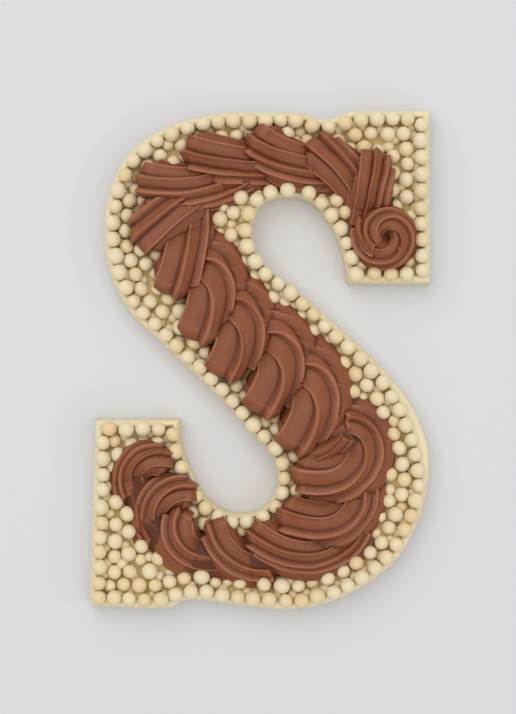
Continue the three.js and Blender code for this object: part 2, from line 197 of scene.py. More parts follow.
def extrude_ring(mesh: bmesh.types.BMesh, edges: list[bmesh.types.BMEdge],
                 places: list[Vector]) -> list[bmesh.types.BMEdge]:
    """Extrude a ring of edges and set the new corners on places.

    Args:
        mesh: The bmesh that holds the ring.
        edges: The ring's edges, as add_ring or this function gave them.
        places: A place for each new corner, in the ring's order.

    Returns:
        The new ring's edges, in the same order.
    """
    corners = ring_corners(edges)
    made = bmesh.ops.extrude_edge_only(mesh, edges=edges)["geom"]
    fresh = {corner for corner in made if isinstance(corner, bmesh.types.BMVert)}
    partner = {}
    for corner in corners:
        for edge in corner.link_edges:
            other = edge.other_vert(corner)
            if other in fresh:
                partner[corner] = other
    for corner, place in zip(corners, places):
        partner[corner].co = place
    ring = [partner[corner] for corner in corners]
    return [mesh.edges.get((ring[index - 1], ring[index])) for index in range(len(ring))]


def cap_ring(mesh: bmesh.types.BMesh, edges: list[bmesh.types.BMEdge]) -> None:
    """Close a ring with a flat face, cut into triangles.

    Args:
        mesh: The bmesh that holds the ring.
        edges: The ring's edges.
    """
    made = bmesh.ops.edgeloop_fill(mesh, edges=edges)["faces"]
    bmesh.ops.triangulate(mesh, faces=made, quad_method="BEAUTY", ngon_method="EAR_CLIP")


def skin_rings(rings: list[list[Vector]]) -> bmesh.types.BMesh:
    """Skin rings of equal count into a closed solid with a flat cap at each end.

    Args:
        rings: The corners of each ring in order, in metres.

    Returns:
        The solid, with its faces pointing outwards.
    """
    mesh = bmesh.new()
    edges = add_ring(mesh, rings[0])
    cap_ring(mesh, edges)
    for places in rings[1:]:
        edges = extrude_ring(mesh, edges, places)
    cap_ring(mesh, edges)
    bmesh.ops.recalc_face_normals(mesh, faces=mesh.faces)
    return mesh


# --- Finishes ---


@dataclass(frozen=True)
class Confection:
    """What the three foods share: cocoa butter, waxy on top and faintly translucent beneath.

    glow is the share of light that goes under the surface, and glow_reach how far its red, green and
    blue spread there, times glow_mm.
    """

    roughness: float
    glow: float
    glow_reach: tuple[float, float, float]
    glow_mm: float
    bump_mm: float
    bump_strength: float
    ior: float = 1.46
    shine: float = 0.5

    def dress(self, shader: bpy.types.Node, colour: bpy.types.NodeSocket,
              height: bpy.types.NodeSocket) -> None:
        """Give a shader its gloss, glow, colour and relief.

        Args:
            shader: The Principled shader.
            colour: The output socket of the colour.
            height: The output socket of the relief's height.
        """
        bump = add_node(shader.id_data, "ShaderNodeBump",
                        {"Strength": self.bump_strength, "Distance": self.bump_mm * MM},
                        {"Height": height})
        set_up(shader, {
            "Roughness": self.roughness,
            "IOR": self.ior,
            "Specular IOR Level": self.shine,
            "Subsurface Weight": self.glow,
            "Subsurface Radius": self.glow_reach,
            "Subsurface Scale": self.glow_mm * MM,
        }, {"Base Color": colour, "Normal": bump.outputs["Normal"]})


@dataclass(frozen=True)
class WhiteChocolate(Confection):
    """Moulded white chocolate: cocoa butter, milk and sugar, cast in a tray mould.

    It is pale yellow, waxy and a little translucent, so thin edges glow. The depths of the tray,
    which the mesh marks with the attribute "tray", are painted a warmer yellow: partly painted shade
    of the recess, partly the thicker chocolate's own tone.
    """

    surface: str = "#EADFBC"
    warm_patch: str = "#E5D6A5"
    # depth is the warmer yellow painted into the tray's recess: partly painted shade, partly the
    # thicker chocolate's tone.
    depth: str = "#EBD08C"
    roughness: float = 0.46
    glow: float = 0.35
    glow_reach: tuple[float, float, float] = (1.0, 0.72, 0.38)
    glow_mm: float = 1.6
    patch_mm: float = 14.0
    swell_mm: float = 5.6
    # The real grain is finer than a pixel, so it is drawn this coarse to show.
    grain_mm: float = 0.9
    grain_share: float = 0.25
    bump_mm: float = 0.10
    bump_strength: float = 0.6

    def build(self) -> bpy.types.Material:
        """Build the node material.

        Returns:
            The material.
        """
        material, tree, shader = new_material("moulded_white_chocolate")
        place = add_node(tree, "ShaderNodeTexCoord").outputs["Object"]
        patches = add_node(tree, "ShaderNodeTexNoise",
                           {"Scale": 1 / (self.patch_mm * MM), "Detail": 3.0, "Roughness": 0.55},
                           {"Vector": place})
        tint = add_node(tree, "ShaderNodeMix", {
            "data_type": "RGBA", 6: linear_colour(self.surface), 7: linear_colour(self.warm_patch),
        }, {"Factor": patches.outputs["Fac"]})
        # Painted shade: deeper in the tray the colour mixes towards the warmer depth yellow.
        tray = add_node(tree, "ShaderNodeAttribute", {"attribute_name": "tray"}).outputs["Fac"]
        inside = add_node(tree, "ShaderNodeMix", {"data_type": "RGBA", 7: linear_colour(self.depth)},
                          {"Factor": tray, 6: tint.outputs[2]})
        grain = add_node(tree, "ShaderNodeTexNoise",
                         {"Scale": 1 / (self.grain_mm * MM), "Detail": 4.0}, {"Vector": place})
        swell = add_node(tree, "ShaderNodeTexNoise",
                         {"Scale": 1 / (self.swell_mm * MM), "Detail": 1.0}, {"Vector": place})
        relief = add_node(tree, "ShaderNodeMath", {"operation": "MULTIPLY_ADD", 1: self.grain_share},
                          {0: grain.outputs["Fac"], 2: swell.outputs["Fac"]})
        self.dress(shader, inside.outputs[2], relief.outputs["Value"])
        return material


@dataclass(frozen=True)
class CrispPearlCoating(Confection):
    """Puffed cereal balls tumbled in white chocolate: cream, matte and slightly lumpy.

    Some let the toasted cereal through and look golden, which the mesh marks with the attribute
    "toasting".
    """

    pale: str = "#EBDEBA"
    toasted: str = "#E4C891"
    roughness: float = 0.55
    ior: float = 1.45
    glow: float = 0.25
    glow_reach: tuple[float, float, float] = (1.0, 0.75, 0.45)
    glow_mm: float = 1.0
    lump_mm: float = 1.5
    mottle: float = 0.3
    bump_mm: float = 0.12
    bump_strength: float = 0.5

    def build(self) -> bpy.types.Material:
        """Build the node material.

        Returns:
            The material.
        """
        material, tree, shader = new_material("crisp_pearl_coating")
        place = add_node(tree, "ShaderNodeTexCoord").outputs["Object"]
        shade = add_node(tree, "ShaderNodeAttribute", {"attribute_name": "toasting"}).outputs["Fac"]
        lumps = add_node(tree, "ShaderNodeTexNoise",
                         {"Scale": 1 / (self.lump_mm * MM), "Detail": 2.0}, {"Vector": place})
        mottle = add_node(tree, "ShaderNodeMath", {"operation": "MULTIPLY_ADD", 1: self.mottle},
                          {0: lumps.outputs["Fac"], 2: shade})
        tint = add_node(tree, "ShaderNodeMix", {
            "data_type": "RGBA", 6: linear_colour(self.pale), 7: linear_colour(self.toasted),
        }, {"Factor": mottle.outputs["Value"]})
        self.dress(shader, tint.outputs[2], lumps.outputs["Fac"])
        return material


@dataclass(frozen=True)
class MilkChocolate(Confection):
    """Whipped milk chocolate piped through a star nozzle: satin, with a painted highlight on the lips
    of its ridges.

    The mesh marks with the attribute "relief" where the lips stand out and the flutes lie in. The
    colour
    follows it: the lips are painted lighter as highlight, and the hollows darker as painted shade in
    the creases.
    """

    # The hollow colour is painted shade in the creases, the lip colour a painted highlight on the
    # ridges' edges, and the flute colour the chocolate's own brown.
    hollow: str = "#5E311B"
    flute: str = "#854C2F"
    lip_highlight: str = "#A56746"
    hollow_shade_stop: float = 0.18
    flute_stop: float = 0.5
    lip_highlight_stop: float = 0.8
    roughness: float = 0.45
    shine: float = 0.3
    glow: float = 0.12
    glow_reach: tuple[float, float, float] = (1.0, 0.45, 0.25)
    glow_mm: float = 0.8
    cloud_mm: float = 9.0
    clouds: tuple[float, float] = (0.9, 1.1)
    # The whipped fat's own bubbles are finer than a pixel, so they are drawn this coarse to show.
    grain_mm: float = 0.5
    bump_mm: float = 0.05
    bump_strength: float = 0.35

    def build(self) -> bpy.types.Material:
        """Build the node material.

        Returns:
            The material.
        """
        material, tree, shader = new_material("piped_milk_chocolate")
        place = add_node(tree, "ShaderNodeTexCoord").outputs["Object"]
        relief = add_node(tree, "ShaderNodeAttribute", {"attribute_name": "relief"}).outputs["Fac"]
        # Painted light: the ramp turns convex edges lighter and creases darker.
        ramp = add_node(tree, "ShaderNodeValToRGB", links={"Fac": relief})
        stops = ramp.color_ramp.elements
        stops[0].position, stops[0].color = self.hollow_shade_stop, linear_colour(self.hollow)
        stops[1].position, stops[1].color = self.flute_stop, linear_colour(self.flute)
        stops.new(self.lip_highlight_stop).color = linear_colour(self.lip_highlight)
        clouds = add_node(tree, "ShaderNodeTexNoise",
                          {"Scale": 1 / (self.cloud_mm * MM), "Detail": 3.0}, {"Vector": place})
        light = add_node(tree, "ShaderNodeMapRange",
                         {"To Min": self.clouds[0], "To Max": self.clouds[1]},
                         {"Value": clouds.outputs["Fac"]})
        tint = add_node(tree, "ShaderNodeVectorMath", {"operation": "SCALE"},
                        {0: ramp.outputs["Color"], "Scale": light.outputs["Result"]})
        grain = add_node(tree, "ShaderNodeTexNoise",
                         {"Scale": 1 / (self.grain_mm * MM), "Detail": 3.0}, {"Vector": place})
        self.dress(shader, tint.outputs["Vector"], grain.outputs["Fac"])
        return material


@dataclass(frozen=True)
class MattBoard:
    """Smooth matt board, sprayed pale grey, under the letter: no shine and a soft shadow."""

    colour: str = "#DAD9DB"
    roughness: float = 0.9

    def build(self) -> bpy.types.Material:
        """Build the node material.

        Returns:
            The material.
        """
        material, _, shader = new_material("pale_matt_board")
        set_up(shader, {"Base Color": linear_colour(self.colour), "Roughness": self.roughness})
        return material


# --- The letter's outline ---


class RunKind(Enum):
    """How a run of the outline goes between its points."""

    ROUND = "round"
    STRAIGHT = "straight"


@dataclass(frozen=True)
class OutlineRun:
    """A run of the letter's foot, clockwise, with its points in millimetres."""

    kind: RunKind
    through: tuple[tuple[float, float], ...]


@dataclass(frozen=True)
class RimChange:
    """A stretch where the flat top of the wall is wider or narrower."""

    x: float
    y: float
    reach: float
    by: float


@dataclass
class LetterOutline:
    """The foot of the letter S in plan, with the width of its rim.

    foot, inward and nearest are worked out from the runs: the foot's points, the direction into the
    chocolate at each, and a search tree of them.
    """

    step: float = 1.0
    curve_samples: int = 24
    sharpest_corner: float = 0.4
    draft: float = 0.5
    rim_width: float = 2.0
    wander_mm: float = 6.0
    clear_share: float = 0.97
    clear_slack: float = 0.05
    rim_changes: tuple[RimChange, ...] = (
        RimChange(10, 36, 21, -1.2),
        RimChange(-7, -30, 21, -1.2),
        RimChange(50, -21, 14, 1.6),
    )
    runs: tuple[OutlineRun, ...] = (
        OutlineRun(RunKind.ROUND, (
            (26.5, 22.9), (25.1, 31.7), (21.7, 39.9), (15.9, 47.3), (8.0, 49.4), (0.6, 46.7),
            (-2.3, 40.2), (0.6, 30.1), (15.3, 17.6), (32.4, 2.3), (44.1, -10.6), (49.9, -22.2),
            (51.4, -33.2), (48.3, -48.5), (40.1, -62.0), (25.1, -72.1), (10.1, -75.7), (-4.6, -74.7),
            (-20.5, -72.8), (-27.5, -75.3), (-33.7, -75.4), (-51.7, -74.7),
        )),
        OutlineRun(RunKind.STRAIGHT, ((-51.7, -74.7), (-50.0, -18.0), (-24.2, -17.9))),
        OutlineRun(RunKind.ROUND, (
            (-24.2, -17.9), (-23.3, -27.1), (-17.4, -40.2), (-11.9, -45.1), (-6.1, -46.7),
            (0.6, -45.1), (5.2, -38.4), (4.0, -29.5), (-2.8, -21.7), (-15.6, -8.7), (-30.6, 5.4),
            (-40.7, 15.8), (-46.5, 29.8), (-46.8, 45.7), (-41.3, 60.4), (-31.2, 69.0), (-16.8, 73.9),
            (-1.5, 75.1), (12.2, 74.7), (19.3, 72.8), (27.5, 75.4),
        )),
        OutlineRun(RunKind.STRAIGHT, ((27.5, 75.4), (51.6, 75.6), (51.7, 22.8), (26.5, 22.9))),
    )
    foot: list[Vector] = field(default_factory=list)
    inward: list[Vector] = field(default_factory=list)
    nearest: KDTree = field(init=False)

    def __post_init__(self) -> None:
        """Work out the foot's points, the direction into the chocolate at each and the search tree."""
        for run in self.runs:
            corners = [Vector(place) for place in run.through]
            if run.kind is RunKind.ROUND:
                self.foot.extend(self._round_points(corners)[:-1])
            else:
                self.foot.extend(self._straight_points(corners)[:-1])
        for index, place in enumerate(self.foot):
            arriving = (place - self.foot[index - 1]).normalized()
            leaving = (self.foot[(index + 1) % len(self.foot)] - place).normalized()
            along = (arriving + leaving).normalized()
            sideways = Vector((along.y, -along.x))
            self.inward.append(sideways / max(along.dot(leaving), self.sharpest_corner))
        self.nearest = KDTree(len(self.foot))
        for index, place in enumerate(self.foot):
            self.nearest.insert((place.x, place.y, 0), index)
        self.nearest.balance()

    def _round_points(self, corners: list[Vector]) -> list[Vector]:
        """Follow a smooth curve through corners at even steps.

        Args:
            corners: The places that the curve passes through.

        Returns:
            Evenly spaced places, both ends among them.
        """
        fine = []
        last = len(corners) - 1
        for index in range(last * self.curve_samples + 1):
            span = min(index // self.curve_samples, last - 1)
            share = index / self.curve_samples - span
            before, start = corners[max(span - 1, 0)], corners[span]
            end, after = corners[span + 1], corners[min(span + 2, last)]
            leaving, arriving = (end - before) / 2, (after - start) / 2
            fine.append(start + share * leaving
                        + share ** 2 * (-3 * start + 3 * end - 2 * leaving - arriving)
                        + share ** 3 * (2 * start - 2 * end + leaving + arriving))
        return self._even_points(fine)

    def _straight_points(self, corners: list[Vector]) -> list[Vector]:
        """Follow straight sides at even steps, keeping each corner.

        Args:
            corners: The corners in order.

        Returns:
            Places along the sides, both ends among them.
        """
        places = [corners[0]]
        for start, end in zip(corners, corners[1:]):
            count = max(round((end - start).length / self.step), 1)
            places.extend(start.lerp(end, (index + 1) / count) for index in range(count))
        return places

    def _even_points(self, fine: list[Vector]) -> list[Vector]:
        """Space places evenly along a finely sampled line.

        Args:
            fine: The line's samples.

        Returns:
            Places one step apart, both ends among them.
        """
        reach = [0.0]
        for start, end in zip(fine, fine[1:]):
            reach.append(reach[-1] + (end - start).length)
        count = max(round(reach[-1] / self.step), 1)
        places = []
        span = 0
        for index in range(count + 1):
            target = reach[-1] * index / count
            while span < len(fine) - 2 and reach[span + 1] < target:
                span += 1
            length = reach[span + 1] - reach[span]
            places.append(fine[span].lerp(fine[span + 1], (target - reach[span]) / length))
        return places

    def rim_at(self, place: Vector) -> float:
        """Give the width of the wall's flat top near a place.

        Args:
            place: A place on the foot.

        Returns:
            The width in millimetres.
        """
        width = self.rim_width
        for change in self.rim_changes:
            distance = math.hypot(place.x - change.x, place.y - change.y)
            width += change.by * math.exp(-((distance / change.reach) ** 4))
        return width

    def inset(self, beyond_rim: float | None, plain: float = 0.0,
              wander: float = 0.0) -> list[Vector]:
        """Move the foot inwards, keeping clear of corners where it would cross itself.

        Args:
            beyond_rim: How far past the rim's inner edge, or None to count from the foot.
            plain: How far from the foot where beyond_rim is None.
            wander: How far an uneven edge strays from its line.

        Returns:
            One place for each place of the foot.
        """
        moved = []
        good = []
        for place, inward in zip(self.foot, self.inward):
            depth = plain if beyond_rim is None else self.draft + self.rim_at(place) + beyond_rim
            wave = Vector((place.x / self.wander_mm, place.y / self.wander_mm, 0))
            depth += wander * noise.noise(wave)
            target = place + inward * depth
            clearance = self.nearest.find((target.x, target.y, 0))[2]
            moved.append(target)
            good.append(clearance > depth * self.clear_share - self.clear_slack)
        kept = [index for index, fine in enumerate(good) if fine]
        for index, fine in enumerate(good):
            if not fine:
                after = next((near for near in kept if near > index), kept[0])
                before = next((near for near in reversed(kept) if near < index), kept[-1])
                moved[index] = (moved[before] + moved[after]) / 2
        return moved


@dataclass(frozen=True)
class WallStep:
    """A ring of the slab: its inset from the foot or past the rim, its height and its unevenness.

    tray tells how deep in the tray it lies, from 0 to 1, for the warmer yellow painted in the recess
    as shade.
    """

    height: float
    plain: float = 0.0
    beyond_rim: float | None = None
    wander: float = 0.0
    tray: float = 0.0


@dataclass
class MouldedSlab:
    """The white chocolate slab with the shallow tray in its face.

    Above even_height its surface waves up and down by unevenness, over wave_mm.
    """

    outline: LetterOutline
    finish: WhiteChocolate
    unevenness: float = 0.10
    even_height: float = 8.0
    wave_mm: float = 9.0
    wave_seed: float = 3.0
    merge_mm: float = 0.01
    least_edge_mm: float = 0.005
    steps: tuple[WallStep, ...] = (
        WallStep(0.0, plain=0.25),
        WallStep(0.25, plain=0.0),
        WallStep(4.0, plain=0.2),
        WallStep(7.9, plain=0.42),
        WallStep(8.4, plain=0.55),
        WallStep(8.78, plain=0.8),
        WallStep(8.97, plain=1.15),
        WallStep(9.0, beyond_rim=-0.75),
        WallStep(8.9, beyond_rim=-0.3, wander=0.3),
        WallStep(8.6, beyond_rim=0.05, wander=0.5, tray=0.1),
        WallStep(8.0, beyond_rim=0.3, wander=0.6, tray=0.4),
        WallStep(6.6, beyond_rim=0.7, wander=0.5, tray=0.8),
        WallStep(6.1, beyond_rim=1.1, wander=0.3, tray=1.0),
        WallStep(6.0, beyond_rim=1.8, tray=1.0),
    )

    def build(self) -> bpy.types.Object:
        """Build the slab ring by ring, from its foot over the rim to the tray's floor.

        Returns:
            The finished object.
        """
        mesh = bmesh.new()
        tray = mesh.verts.layers.float.new("tray")
        ring = add_ring(mesh, self._ring_places(self.steps[0]))
        cap_ring(mesh, ring)
        for step in self.steps[1:]:
            ring = extrude_ring(mesh, ring, self._ring_places(step))
            for corner in ring_corners(ring):
                corner[tray] = step.tray
        cap_ring(mesh, ring)
        bmesh.ops.remove_doubles(mesh, verts=mesh.verts, dist=self.merge_mm * MM)
        bmesh.ops.dissolve_degenerate(mesh, edges=mesh.edges, dist=self.least_edge_mm * MM)
        bmesh.ops.recalc_face_normals(mesh, faces=mesh.faces)
        for face in mesh.faces:
            face.smooth = True
        made = make_object("moulded_white_chocolate_slab", mesh, self.finish.build())
        LOG.info("slab: %d faces", len(made.data.polygons))
        return made

    def _ring_places(self, step: WallStep) -> list[Vector]:
        """Place one ring of the slab.

        Args:
            step: The ring's inset, height and unevenness.

        Returns:
            The ring's corners in metres.
        """
        places = []
        for place in self.outline.inset(step.beyond_rim, step.plain, step.wander):
            height = step.height
            if height > self.even_height:
                wave = Vector((place.x / self.wave_mm, place.y / self.wave_mm, self.wave_seed))
                height += self.unevenness * noise.noise(wave)
            places.append(Vector((place.x, place.y, height)) * MM)
        return places


# --- The piped rope ---


@dataclass(frozen=True)
class Loop:
    """One stroke of the star nozzle.

    x and y are the nozzle's place at the start. It sets off at heading and turns left by turn over
    length, angles in degrees. radius is the star's, and flank is how far the outer side slumps beyond
    it. points is the star's count of teeth, and tooth the direction in plan of one of them. A curl
    above 1 makes the stroke bend more towards its end. A twist of 1 keeps the star's teeth pointing
    the same way while the stroke turns, and with 0 they turn with it. lift raises the stroke behind
    its nose, and dip is how far its end sinks under the next one.
    """

    x: float
    y: float
    heading: float
    turn: float
    length: float
    radius: float
    flank: float
    points: int
    tooth: float
    curl: float = 1.4
    twist: float = 1.0
    lift: float = 0.6
    dip: float = 5.0


@dataclass(frozen=True)
class LoopPlace:
    """A place along a loop.

    It has its middle and heading in plan, its half widths, flank and rise, the height of its widest
    line above the underside, and how many degrees the loop has turned so far.
    """

    x: float
    y: float
    heading: float
    left: float
    right: float
    flank: float
    rise: float
    waist: float
    turned: float


@dataclass(frozen=True)
class SectionLine:
    """A line of the half star: its angle from the left foot and how far it lies in a flute, 0 to 1."""

    angle: float
    hollow: float


# The strokes in the order of piping, each over the end of the one before: from the lower left end
# through the lower bowl, up the spine, round the upper bowl and down to the rosette.
LOOPS = (
    Loop(-30.5, -30.0, 165, 132, 18.5, 5.4, 1.5, 7, 20, curl=0.9, twist=0.5),
    Loop(-23.6, -39.9, 172, 135, 21.5, 5.7, 2.1, 7, 20, curl=0.9, twist=0.5),
    Loop(-23.6, -48.9, 248, 118, 17.9, 6.3, 3.9, 6, 92, curl=0.8, twist=0.3),
    Loop(-12.3, -52.1, 288, 78, 21.5, 5.7, 2.4, 6, 75, curl=1.0, twist=0.3),
    Loop(1.2, -53.6, 328, 100, 33.5, 6.6, 2.7, 8, 200, curl=1.5, twist=0.4),
    Loop(10.8, -47.7, 345, 195, 34.1, 7.2, 3.0, 6, 211, curl=1.8, twist=0.3),
    Loop(16.1, -34.5, 350, 196, 31.7, 7.8, 3.6, 6, 222, curl=1.5, twist=0.5),
    Loop(16.1, -29.1, 15, 40, 12.0, 3.3, 0.0, 4, 220, dip=1.0),
    Loop(12.0, -21.7, 56, 183, 33.8, 8.4, 3.9, 5, 196, curl=1.8),
    Loop(2.1, -10.3, 56, 192, 31.7, 8.4, 3.9, 5, 196, curl=1.8),
    Loop(-9.0, 0.5, 62, 182, 29.3, 8.4, 3.9, 5, 196, curl=1.9),
    Loop(-17.0, 11.8, 70, 172, 28.4, 8.4, 3.9, 5, 196, curl=2.3),
    Loop(-25.1, 25.3, 72, 15, 22.4, 8.1, 0.9, 6, 205),
    Loop(-32.3, 39.3, 42, -10, 29.9, 8.4, 0.9, 8, 167),
    Loop(-30.8, 53.1, 345, 45, 28.4, 7.8, 0.9, 9, 158, curl=1.0),
    Loop(-17.0, 61.8, 345, 22, 25.4, 7.5, 2.4, 8, 173),
    Loop(1.8, 64.1, 320, 45, 25.4, 7.5, 2.4, 8, 145, curl=0.8),
    Loop(19.4, 61.8, 318, -15, 22.4, 7.2, 1.2, 7, 155),
    Loop(33.8, 57.3, 262, -5, 19.4, 7.2, 0.6, 9, 120),
    Loop(32.3, 39.0, 262, 430, 35.0, 5.4, 0.9, 6, 120, curl=1.15, lift=0.8, dip=-1.6, twist=0.5),
)

# The bed's middle line in plan, and its half width at each point.
BED = (
    (-37.7, -34.2, 5.1), (-34.1, -48.0, 6.0), (-24.5, -57.5, 7.2), (-10.5, -59.9, 7.2),
    (4.5, -58.7, 7.2), (18.5, -54.2, 7.2), (27.5, -45.6, 7.5), (29.3, -33.0, 7.2),
    (23.3, -21.1, 6.6), (14.9, -10.3, 6.6), (6.0, 0.5, 6.6), (-4.2, 12.4, 6.3), (-14.9, 25.9, 5.4),
    (-23.9, 37.2, 5.4), (-26.9, 46.2, 5.4), (-20.9, 53.7, 5.4), (-7.2, 58.5, 5.4),
    (9.0, 59.7, 5.4), (23.9, 57.3, 5.4), (33.5, 51.9, 5.4), (37.1, 41.1, 6.0), (37.1, 35.1, 6.0),
)


@dataclass
class PipedRope:
    """The rope of milk chocolate, loop over loop, with a low bed beneath.

    A loop's section is a half star on straight feet. Its flutes go in by flute_depth, least at the
    lips and most at the share deepest of the way to the next one. Its outer side has a raised
    shoulder and slumps into a skirt, over angles in degrees beyond the foot. Its surface leans back
    by rake, its nose swings down behind the first place of its path, and its shares, such as
    lift_end, are of its length.
    """

    finish: MilkChocolate
    loops: tuple[Loop, ...] = LOOPS
    bed: tuple[tuple[float, float, float], ...] = BED
    underside: float = 6.2
    flute_depth: float = 0.34
    nose_rounding: float = 0.3
    deepest: float = 0.78
    lip_share: float = 0.28
    lip_width: float = 0.06
    inner_curve: float = 1.4
    outer_curve: float = 0.8
    rake: float = 0.45
    rise_per_radius: float = 0.55
    least_rise: float = 2.4
    waist: float = 3.6
    least_waist: float = 0.5
    nose_waist: float = 0.05
    foot_share: float = 0.94
    taper: float = 0.22
    lift_end: float = 0.3
    flank_end: float = 0.35
    shoulder: float = 0.3
    tightest_bend: float = 0.85
    bend_from: float = 0.02
    least_bend: float = 0.001
    line_step: float = 4.5
    skirt: float = 45.0
    side_fall: float = 80.0
    lip_fade: float = 20.0
    flank_spread: float = 22.0
    nose_rings: int = 9
    path_rings: int = 30
    turn_per_ring: float = 7.0
    turn_per_piece: float = 250.0
    unevenness: float = 0.22
    uneven_mm: float = 6.0
    uneven_shift: float = 5.0
    uneven_seed: int = 1
    bed_rise: float = 4.6
    bed_sides: int = 12
    # level_relief and relief_per_bend set how strongly a bend is painted as lip highlight or crease
    # shade.
    level_relief: float = 0.5
    relief_per_bend: float = 0.45
    sharp_edge: float = 50.0
    least_edge: float = 1e-6

    def build(self) -> bpy.types.Object:
        """Build every loop and the bed, and fuse them.

        Returns:
            The finished object.
        """
        # Without a seed of its own, noise_vector follows the clock and each run differs.
        noise.seed_set(self.uneven_seed)
        material = self.finish.build()
        pieces = [self._build_bed(material)]
        for number, loop in enumerate(self.loops):
            pieces.extend(self._build_loop(loop, number, material))
        rope = self._fuse(pieces)
        self._mark_relief(rope)
        LOG.info("rope: %d faces", len(rope.data.polygons))
        return rope

    def _section(self, loop: Loop) -> list[SectionLine]:
        """Lay out the lines of the half star, enough of them for the star to turn under the stroke.

        Args:
            loop: The loop.

        Returns:
            The lines from left to right. Lines beyond a foot run down that side.
        """
        shift = loop.twist * loop.turn
        first = min(shift, 0.0) - (self.skirt if loop.turn < 0 else 0.0)
        last = 180 + max(shift, 0.0) + (self.skirt if loop.turn >= 0 else 0.0)
        spacing = 360 / loop.points
        foot_direction = loop.heading + 90
        lines = []
        count = math.ceil((last - first) / self.line_step)
        for index in range(count + 1):
            angle = first + (last - first) * index / count
            share = ((foot_direction + angle - loop.tooth) / spacing) % 1.0
            if loop.turn < 0:
                share = 1 - share
            if share <= self.deepest:
                hollow = (self.lip_share * (1 - math.exp(-share / self.lip_width))
                          + (1 - self.lip_share) * (share / self.deepest) ** self.inner_curve)
            else:
                climb = (share - self.deepest) / (1 - self.deepest) * math.pi / 2
                hollow = math.cos(climb) ** self.outer_curve
            lines.append(SectionLine(angle, hollow))
        return lines

    def _path(self, loop: Loop) -> list[LoopPlace]:
        """Follow a loop's middle line in plan, from where its nose pivots.

        Args:
            loop: The loop.

        Returns:
            Its places in order.
        """
        start, turn = math.radians(loop.heading), math.radians(loop.turn)
        rise = self.least_rise + loop.radius * self.rise_per_radius
        steps = max(self.path_rings, round(abs(loop.turn) / self.turn_per_ring))
        x, y = loop.x, loop.y
        places = []
        for index in range(steps + 1):
            share = index / steps
            heading = start + turn * share ** loop.curl
            bend = (abs(turn) * loop.curl * max(share, self.bend_from) ** (loop.curl - 1)
                    / loop.length)
            fullness = 1 - self.taper * share
            outside = loop.radius * fullness
            inside = min(outside, self.tightest_bend / max(bend, self.least_bend))
            left, right = (inside, outside) if turn > 0 else (outside, inside)
            waist = (self.waist + loop.lift * smooth_step(share, 0, self.lift_end)
                     - loop.dip * smooth_step(share, self.lift_end, 1))
            flank = loop.flank * smooth_step(share, 0, self.flank_end) * fullness
            places.append(LoopPlace(x, y, heading, left, right, flank, rise * fullness,
                                    max(waist, self.least_waist), loop.turn * share ** loop.curl))
            middle = start + turn * (share + 0.5 / steps) ** loop.curl
            x += math.cos(middle) * loop.length / steps
            y += math.sin(middle) * loop.length / steps
        return places

    def _corner(self, place: LoopPlace, across: float, back: float, height: float,
                number: int) -> Vector:
        """Place a corner of a ring, a little astray unless it is a foot.

        Args:
            place: The place along the loop.
            across: How far the corner lies to its left.
            back: How far it lies behind.
            height: Its height.
            number: The loop's number, which sets how it strays.

        Returns:
            The corner in metres.
        """
        forward = Vector((math.cos(place.heading), math.sin(place.heading)))
        spot = Vector((place.x - forward.y * across - forward.x * back,
                       place.y + forward.x * across - forward.y * back, height))
        if height <= self.underside:
            return spot * MM
        wave = spot / self.uneven_mm + Vector((0, 0, number * self.uneven_shift))
        return (spot + noise.noise_vector(wave) * self.unevenness) * MM

    def _ring(self, place: LoopPlace, loop: Loop, lines: list[SectionLine], tilt: float,
              waist: float, number: int) -> list[Vector]:
        """Place one ring of a loop.

        Args:
            place: The place along the loop.
            loop: The loop.
            lines: The half star's lines.
            tilt: How far the half star swings back about its feet, in radians.
            waist: The height of the ring's widest line above the underside.
            number: The loop's number, which sets how the ring strays.

        Returns:
            The ring's corners in metres.
        """
        outer = 1 if loop.turn < 0 else -1
        mean = (place.left + place.right) / 2
        depth = self.flute_depth * (1 - self.nose_rounding * math.sin(tilt))
        back_reach = mean * (self.rake + (1 - self.rake) * math.sin(tilt))
        foot_left = place.left * self.foot_share + (place.flank if outer > 0 else 0.0)
        foot_right = place.right * self.foot_share + (place.flank if outer < 0 else 0.0)
        ring = [self._corner(place, foot_left, 0, self.underside, number)]
        for line in lines:
            angle = line.angle - loop.twist * place.turned
            beyond = max(-angle, angle - 180, 0.0)
            turned = math.radians(min(max(angle, 0.0), 180.0))
            side = math.cos(turned)
            reach = 1 - depth * line.hollow * math.exp(-beyond / self.lip_fade)
            across = side * reach * (place.left if side > 0 else place.right)
            up = math.sin(turned) * reach
            top = waist + up * place.rise * math.cos(tilt)
            if side * outer > 0:
                top += self.shoulder * (1 - math.sin(turned)) * place.rise * math.cos(tilt)
                across += outer * place.flank * (1 - math.exp(-beyond / self.flank_spread))
            height = self.underside + top * math.exp(-beyond / self.side_fall)
            ring.append(self._corner(place, across, up * back_reach, height, number))
        ring.append(self._corner(place, -foot_right, 0, self.underside, number))
        return ring

    def _build_loop(self, loop: Loop, number: int,
                    material: bpy.types.Material) -> list[bpy.types.Object]:
        """Build a loop as solids that each turn too little to meet themselves.

        Args:
            loop: The loop.
            number: Its place in the order of piping.
            material: Its finish.

        Returns:
            The solids in order.
        """
        path = self._path(loop)
        lines = self._section(loop)
        pivot = path[0]
        rings = [self._ring(pivot, loop, lines, math.pi / 2, self.nose_waist, number)]
        for ring in range(self.nose_rings):
            tilt = (1 - ring / self.nose_rings) * math.pi / 2
            rings.append(self._ring(pivot, loop, lines, tilt, pivot.waist, number))
        rings.extend(self._ring(place, loop, lines, 0, place.waist, number) for place in path)
        parts = max(math.ceil(abs(loop.turn) / self.turn_per_piece), 1)
        span = math.ceil((len(rings) - 1) / parts)
        return [
            make_object(f"rope_loop_{number}_{start}", skin_rings(rings[start:start + span + 1]),
                        material)
            for start in range(0, len(rings) - 1, span)
        ]

